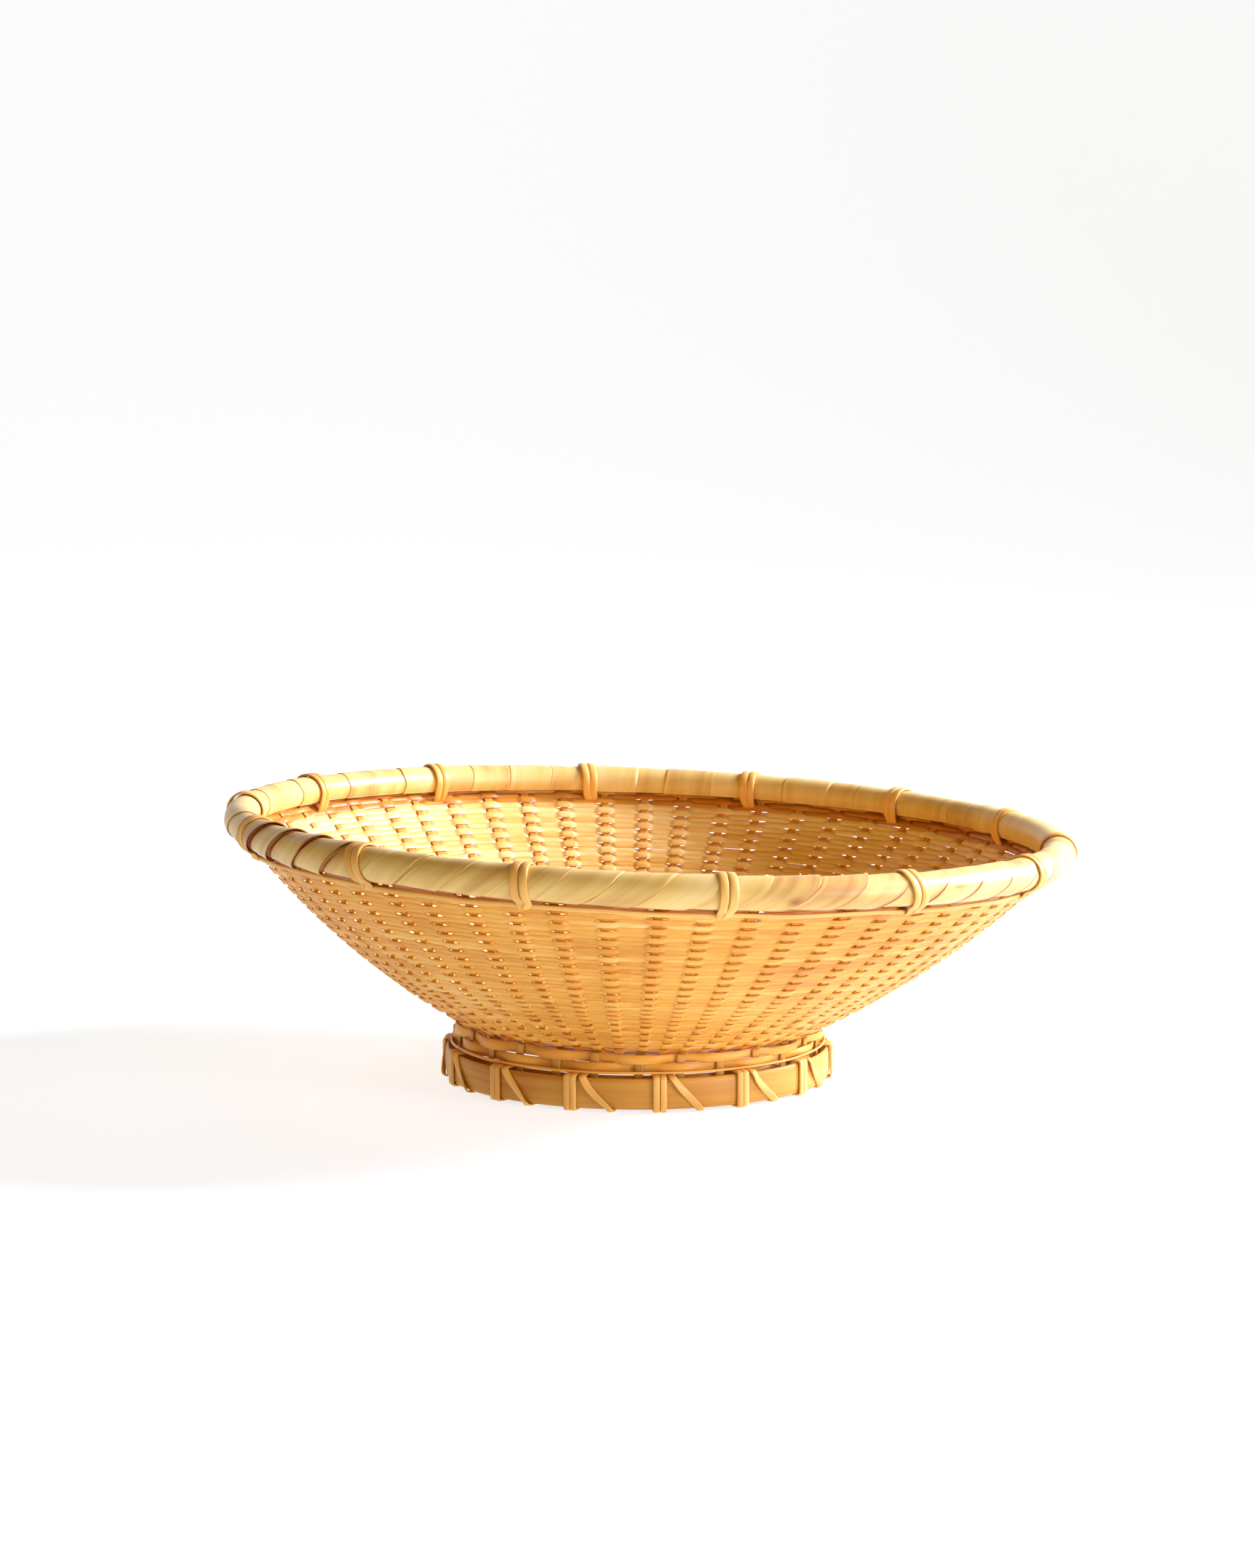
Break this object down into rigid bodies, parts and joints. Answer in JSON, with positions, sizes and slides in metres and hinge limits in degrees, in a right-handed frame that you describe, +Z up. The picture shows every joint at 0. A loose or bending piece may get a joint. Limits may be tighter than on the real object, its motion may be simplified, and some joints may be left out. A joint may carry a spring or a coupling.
{
  "type": "winnowing basket",
  "caption": "Shallow round bamboo basket: a plain-woven bowl with a wrapped, tied rim, standing on a low flared ring foot lashed with rattan.",
  "frame": {"origin": "on the ground, under the middle of the basket's overall width and depth", "axes": "+Z up; the pictured side faces -Y; the bowl leans towards +X, so the rim is lowest there"},
  "size_m": [0.2704, 0.2686, 0.0903],
  "materials": {
    "weft_bamboo": "split bamboo, plain woven, satin",
    "stake_bamboo": "split bamboo, aged brown",
    "rim_sheath": "pale bamboo strip, smooth skin outside",
    "hoop_bamboo": "bent bamboo, satin",
    "rattan": "split rattan, satin"
  },
  "bodies": {
    "root": {"base_mat": "weft_bamboo", "bowl_stakes": "stake_bamboo", "weft_lower": "weft_bamboo", "weft_middle": "weft_bamboo", "weft_upper": "weft_bamboo", "rim_inner_hoop": "hoop_bamboo", "rim_outer_hoop": "hoop_bamboo", "rim_wrap": "rim_sheath", "under_rim_strand": "rattan", "foot_outer_hoop": "hoop_bamboo", "foot_inner_hoop": "hoop_bamboo", "foot_stakes": "stake_bamboo", "foot_weft_lower": "weft_bamboo", "foot_weft_upper": "weft_bamboo", "rim_tie_01": "rattan", "rim_tie_02": "rattan", "rim_tie_03": "rattan", "rim_tie_04": "rattan", "rim_tie_05": "rattan", "rim_tie_06": "rattan", "rim_tie_07": "rattan", "rim_tie_08": "rattan", "rim_tie_09": "rattan", "rim_tie_10": "rattan", "rim_tie_11": "rattan", "rim_tie_12": "rattan", "rim_tie_13": "rattan", "rim_tie_14": "rattan", "foot_tie_01": "rattan", "foot_tie_02": "rattan", "foot_tie_03": "rattan", "foot_tie_04": "rattan", "foot_tie_05": "rattan", "foot_tie_06": "rattan", "foot_tie_07": "rattan", "foot_tie_08": "rattan", "foot_tie_09": "rattan", "foot_tie_10": "rattan", "foot_tie_11": "rattan", "foot_tie_12": "rattan", "foot_tie_13": "rattan", "foot_tie_14": "rattan", "foot_diagonal_01": "rattan", "foot_diagonal_02": "rattan", "foot_diagonal_03": "rattan", "foot_diagonal_04": "rattan", "foot_diagonal_05": "rattan", "foot_diagonal_06": "rattan", "foot_diagonal_07": "rattan", "foot_diagonal_08": "rattan", "foot_diagonal_09": "rattan", "foot_diagonal_10": "rattan", "foot_diagonal_11": "rattan", "foot_diagonal_12": "rattan", "foot_diagonal_13": "rattan", "foot_diagonal_14": "rattan"}
  },
  "joints": []
}
